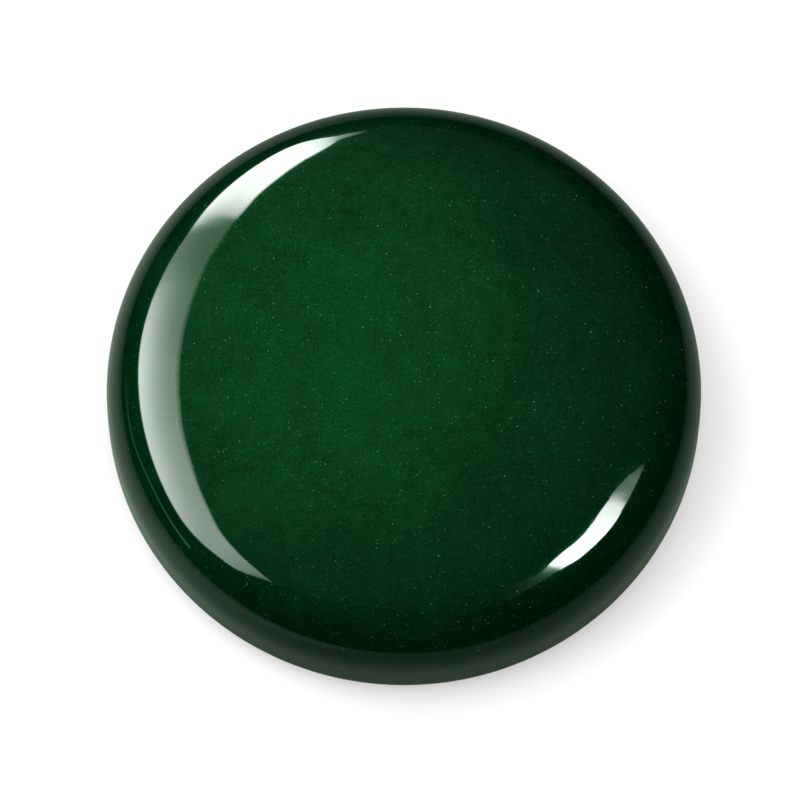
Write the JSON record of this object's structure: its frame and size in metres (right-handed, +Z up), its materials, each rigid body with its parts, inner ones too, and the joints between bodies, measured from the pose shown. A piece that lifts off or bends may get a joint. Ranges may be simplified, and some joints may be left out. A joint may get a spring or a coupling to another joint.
{
  "type": "inkwell",
  "caption": "Round pebble-shaped desk inkwell in glossy green enamel: a deep lift-off cover with a sprung seal over a weighted base that holds a removable glass ink insert.",
  "frame": {"origin": "centre of the resting face, on the underside of the foot pad", "axes": "+Z up along the one axis that every turned piece and every joint shares; X and Y are alike because the form is round; one deck screw lies towards +Y"},
  "size_m": [0.11, 0.11, 0.0264],
  "materials": {
    "enamel": "glossy vitreous enamel on spun metal, mottled deep green with fine bright specks",
    "brass": "satin, turned",
    "brass_polished": "polished, turned",
    "spring_steel": "drawn wire and pressed steel, bright",
    "iron": "as cast, dark",
    "glass": "clear pressed glass, polished rim",
    "rubber": "matt black",
    "leather": "dark green, fine grain"
  },
  "bodies": {
    "base": {"foot_pad": "leather", "base_shell": "enamel", "base_rim": "brass_polished", "spigot_ring": "rubber", "ballast_ring": "iron", "deck_tray": "brass", "well_socket": "brass", "well_cushion": "rubber", "deck_screw_1": "brass_polished", "deck_screw_2": "brass_polished", "deck_screw_3": "brass_polished", "base_screw_1": "spring_steel", "base_screw_2": "spring_steel", "base_screw_3": "spring_steel"},
    "well": {"well_glass": "glass", "well_collar": "brass_polished"},
    "seal_head": {"seal_guide": "brass_polished", "guide_washer": "brass_polished", "seal_spring": "spring_steel"},
    "cover": {"cover_shell": "enamel", "cover_rim": "brass_polished", "cover_lining": "brass"},
    "seal_press": {"seal_plate": "brass_polished", "seal_pad": "rubber", "stem_clip": "spring_steel"}
  },
  "joints": [
    {"name": "well_lift", "type": "slide", "parent": "base", "child": "well", "axis": [0, 0, 1], "range_m": [0, 0.04]},
    {"name": "cover_lift", "type": "slide", "parent": "well", "child": "seal_head", "axis": [0, 0, 1], "range_m": [0, 0.06]},
    {"name": "cover_turn", "type": "hinge", "parent": "seal_head", "child": "cover", "pos_m": [0, 0, 0.0216], "axis": [0, 0, 1], "continuous": true},
    {"name": "seal_press", "type": "slide", "parent": "seal_head", "child": "seal_press", "axis": [0, 0, 1], "range_m": [0, 0.0012], "stiffness_N_per_m": 800, "springref_m": -0.002, "deforming": ["seal_spring"]}
  ]
}
